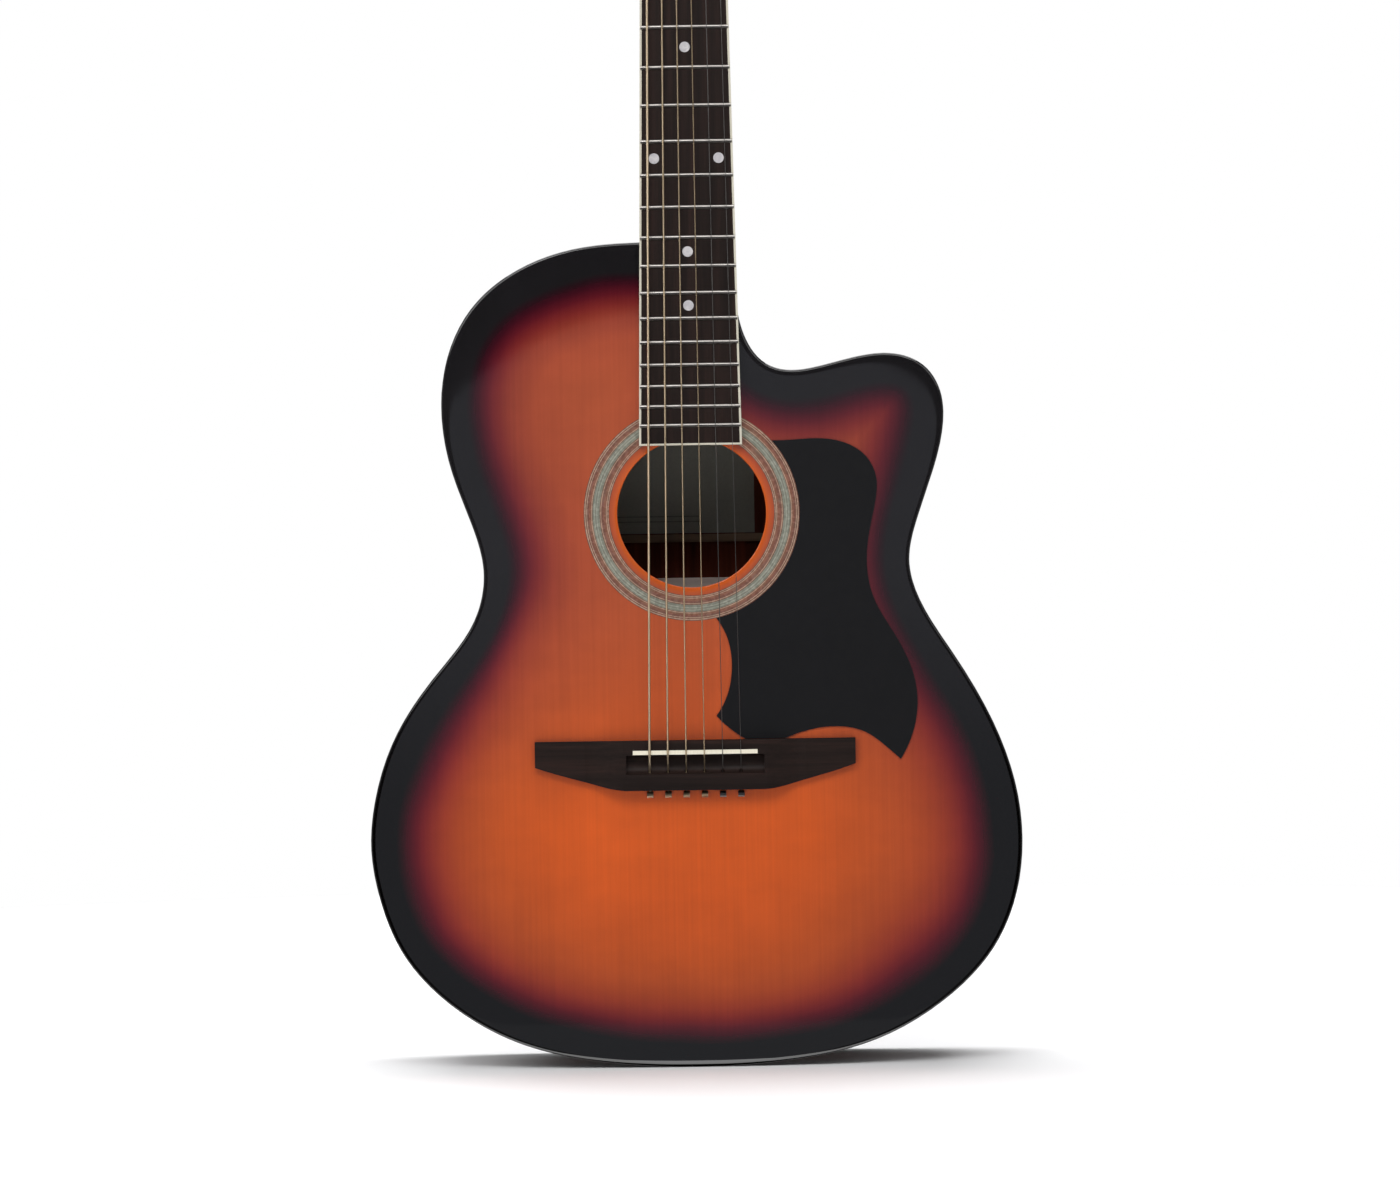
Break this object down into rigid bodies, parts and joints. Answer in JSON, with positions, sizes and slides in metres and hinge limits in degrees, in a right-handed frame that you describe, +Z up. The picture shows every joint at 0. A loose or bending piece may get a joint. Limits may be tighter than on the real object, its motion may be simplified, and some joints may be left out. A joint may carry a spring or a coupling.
{
  "type": "acoustic guitar",
  "caption": "Steel-string acoustic guitar with a single cutaway, pinless bridge, pickguard, ringed soundhole, bound fretboard and turning machine heads.",
  "frame": {"origin": "lowest point of the tail, on the centreline, half way through the depth of the body", "axes": "+Z up along the neck, +X towards the cutaway and the thin strings, -Y out of the soundboard"},
  "size_m": [0.3723, 0.1039, 1.016],
  "materials": {
    "top_wood": "gloss lacquer",
    "body_wood": "gloss lacquer",
    "inner_wood": "raw",
    "neck_wood": "satin",
    "dark_wood": "oiled",
    "label_paper": "matt",
    "shell_inlay": "polished shell pattern",
    "black_plastic": "smooth",
    "ivory_plastic": "polished",
    "cream_plastic": "polished",
    "pearl_plastic": "pearl",
    "fret_metal": "polished",
    "plain_steel": "bright",
    "bright_chrome": "polished",
    "bronze_wire": "wound"
  },
  "bodies": {
    "guitar": {"soundboard": "top_wood", "rosette": "shell_inlay", "back_plate": "body_wood", "side_bass": "body_wood", "side_treble": "body_wood", "neck_block": "inner_wood", "tail_block": "inner_wood", "top_lining": "inner_wood", "back_lining": "inner_wood", "x_brace": "inner_wood", "transverse_brace": "inner_wood", "small_top_braces": "inner_wood", "bridge_plate": "inner_wood", "back_braces": "inner_wood", "label": "label_paper", "pickguard": "black_plastic", "bridge": "dark_wood", "saddle": "ivory_plastic", "fretboard": "dark_wood", "fretboard_binding": "cream_plastic", "position_markers": "pearl_plastic", "frets": "fret_metal", "neck": "neck_wood", "nut": "ivory_plastic", "truss_rod": "plain_steel", "truss_rod_cover": "black_plastic", "cover_screws": "bright_chrome", "tuner_ferrules": "bright_chrome", "tuner_plate_screws": "bright_chrome", "tuner_1_plate": "bright_chrome", "tuner_2_plate": "bright_chrome", "tuner_3_plate": "bright_chrome", "tuner_4_plate": "bright_chrome", "tuner_5_plate": "bright_chrome", "tuner_6_plate": "bright_chrome", "string_1": "plain_steel", "string_2": "plain_steel", "string_3": "bronze_wire", "string_4": "bronze_wire", "string_5": "bronze_wire", "string_6": "bronze_wire"},
    "tuner_1_shaft": {"tuner_1_worm": "bright_chrome", "tuner_1_button": "pearl_plastic"},
    "tuner_1_spindle": {"tuner_1_post": "bright_chrome"},
    "tuner_2_shaft": {"tuner_2_worm": "bright_chrome", "tuner_2_button": "pearl_plastic"},
    "tuner_2_spindle": {"tuner_2_post": "bright_chrome"},
    "tuner_3_shaft": {"tuner_3_worm": "bright_chrome", "tuner_3_button": "pearl_plastic"},
    "tuner_3_spindle": {"tuner_3_post": "bright_chrome"},
    "tuner_4_shaft": {"tuner_4_worm": "bright_chrome", "tuner_4_button": "pearl_plastic"},
    "tuner_4_spindle": {"tuner_4_post": "bright_chrome"},
    "tuner_5_shaft": {"tuner_5_worm": "bright_chrome", "tuner_5_button": "pearl_plastic"},
    "tuner_5_spindle": {"tuner_5_post": "bright_chrome"},
    "tuner_6_shaft": {"tuner_6_worm": "bright_chrome", "tuner_6_button": "pearl_plastic"},
    "tuner_6_spindle": {"tuner_6_post": "bright_chrome"},
    "truss_nut": {"truss_rod_nut": "plain_steel"}
  },
  "joints": [
    {"name": "tuner_1_turn", "type": "hinge", "parent": "guitar", "child": "tuner_1_shaft", "pos_m": [0.0265, -0.01324, 0.88267], "axis": [1, 0, 0], "continuous": true},
    {"name": "post_1_turn", "type": "hinge", "parent": "guitar", "child": "tuner_1_spindle", "pos_m": [0.0265, -0.03584, 0.87965], "axis": [0, 0.9703, -0.2419], "continuous": true},
    {"name": "tuner_2_turn", "type": "hinge", "parent": "guitar", "child": "tuner_2_shaft", "pos_m": [0.0265, -0.00356, 0.92149], "axis": [1, 0, 0], "continuous": true},
    {"name": "post_2_turn", "type": "hinge", "parent": "guitar", "child": "tuner_2_spindle", "pos_m": [0.0265, -0.02616, 0.91846], "axis": [0, 0.9703, -0.2419], "continuous": true},
    {"name": "tuner_3_turn", "type": "hinge", "parent": "guitar", "child": "tuner_3_shaft", "pos_m": [0.0265, 0.00612, 0.9603], "axis": [1, 0, 0], "continuous": true},
    {"name": "post_3_turn", "type": "hinge", "parent": "guitar", "child": "tuner_3_spindle", "pos_m": [0.0265, -0.01649, 0.95728], "axis": [0, 0.9703, -0.2419], "continuous": true},
    {"name": "tuner_4_turn", "type": "hinge", "parent": "guitar", "child": "tuner_4_shaft", "pos_m": [-0.0265, 0.00612, 0.9603], "axis": [1, 0, 0], "continuous": true},
    {"name": "post_4_turn", "type": "hinge", "parent": "guitar", "child": "tuner_4_spindle", "pos_m": [-0.0265, -0.01649, 0.95728], "axis": [0, 0.9703, -0.2419], "continuous": true},
    {"name": "tuner_5_turn", "type": "hinge", "parent": "guitar", "child": "tuner_5_shaft", "pos_m": [-0.0265, -0.00356, 0.92149], "axis": [1, 0, 0], "continuous": true},
    {"name": "post_5_turn", "type": "hinge", "parent": "guitar", "child": "tuner_5_spindle", "pos_m": [-0.0265, -0.02616, 0.91846], "axis": [0, 0.9703, -0.2419], "continuous": true},
    {"name": "tuner_6_turn", "type": "hinge", "parent": "guitar", "child": "tuner_6_shaft", "pos_m": [-0.0265, -0.01324, 0.88267], "axis": [1, 0, 0], "continuous": true},
    {"name": "post_6_turn", "type": "hinge", "parent": "guitar", "child": "tuner_6_spindle", "pos_m": [-0.0265, -0.03584, 0.87965], "axis": [0, 0.9703, -0.2419], "continuous": true},
    {"name": "truss_nut_turn", "type": "hinge", "parent": "guitar", "child": "truss_nut", "pos_m": [0, -0.038, 0.8489], "axis": [0, 0, 1], "range_deg": [-180, 180]}
  ],
  "couplings": [
    {"joint": "post_1_turn", "follows": "tuner_1_turn", "ratio": -0.071429},
    {"joint": "post_2_turn", "follows": "tuner_2_turn", "ratio": -0.071429},
    {"joint": "post_3_turn", "follows": "tuner_3_turn", "ratio": -0.071429},
    {"joint": "post_4_turn", "follows": "tuner_4_turn", "ratio": -0.071429},
    {"joint": "post_5_turn", "follows": "tuner_5_turn", "ratio": -0.071429},
    {"joint": "post_6_turn", "follows": "tuner_6_turn", "ratio": -0.071429}
  ]
}
